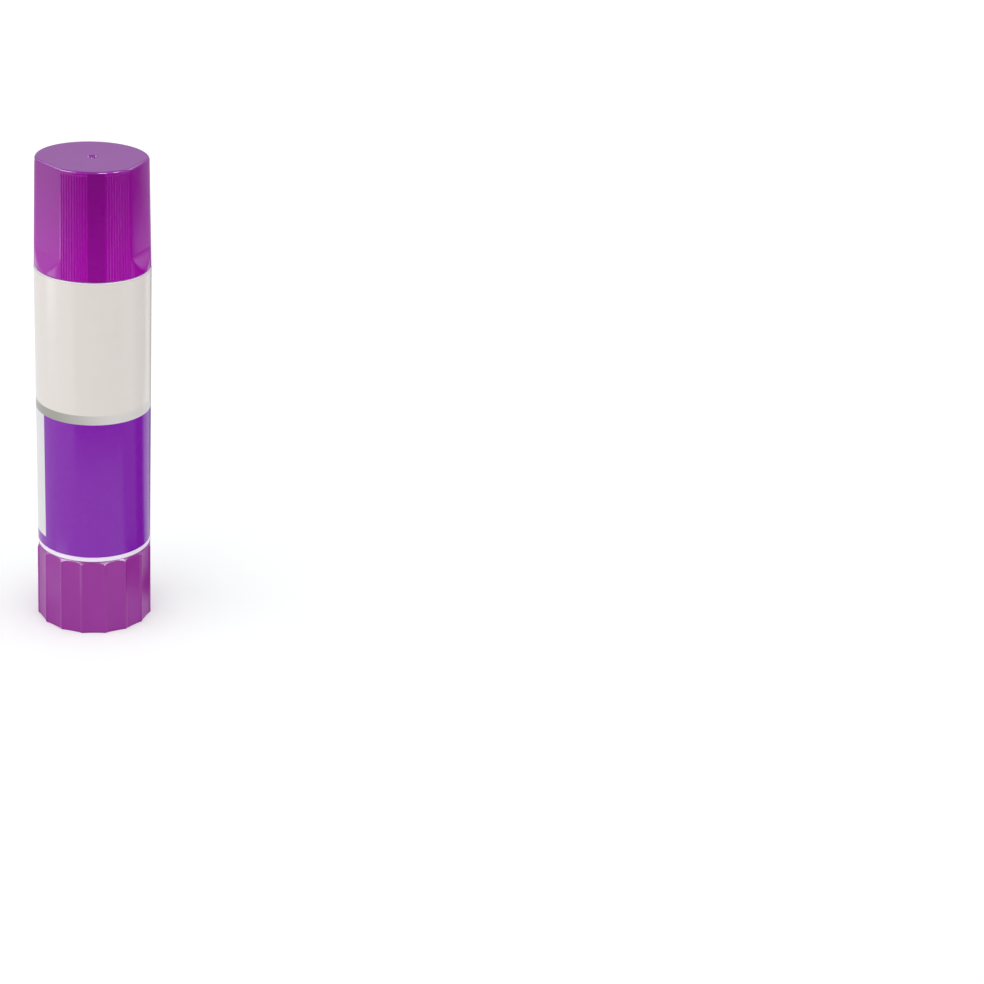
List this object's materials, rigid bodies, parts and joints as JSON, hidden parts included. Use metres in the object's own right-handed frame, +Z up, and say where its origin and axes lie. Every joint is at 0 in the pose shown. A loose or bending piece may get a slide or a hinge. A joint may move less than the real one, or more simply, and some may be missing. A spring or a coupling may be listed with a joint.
{
  "type": "glue stick",
  "caption": "Upright twist-up glue stick: pull-off ribbed cap, white barrel with wrapped label, and a faceted knob whose screw lifts the glue.",
  "frame": {"origin": "centre of the knob's rim, on the surface that the stick stands on", "axes": "+Z up along the stick to the cap's top, -Y towards the label's front"},
  "size_m": [0.0204, 0.0204, 0.085],
  "materials": {
    "cap_plastic": "glossy moulded polypropylene, red-violet",
    "knob_plastic": "semi-gloss moulded polypropylene, red-violet",
    "white_plastic": "semi-gloss white polypropylene",
    "inner_plastic": "satin natural white polypropylene",
    "label_film": "printed film with a clear gloss coat: warm white above a silver line, violet below",
    "glue": "waxy translucent violet adhesive"
  },
  "bodies": {
    "barrel": {"barrel": "white_plastic", "label": "label_film"},
    "knob": {"knob": "knob_plastic", "spindle": "inner_plastic"},
    "carrier": {"carrier": "inner_plastic", "glue": "glue"},
    "cap": {"cap": "cap_plastic"}
  },
  "joints": [
    {"name": "knob_twist", "type": "hinge", "parent": "barrel", "child": "knob", "pos_m": [0, 0, 0.007], "axis": [0, 0, 1], "range_deg": [0, 4320]},
    {"name": "glue_lift", "type": "slide", "parent": "barrel", "child": "carrier", "axis": [0, 0, 1], "range_m": [0, 0.048]},
    {"name": "cap_pull", "type": "slide", "parent": "carrier", "child": "cap", "axis": [0, 0, 1], "range_m": [0, 0.02]}
  ],
  "couplings": [
    {"joint": "glue_lift", "follows": "knob_twist", "m_per_rad": 0.00063662}
  ]
}
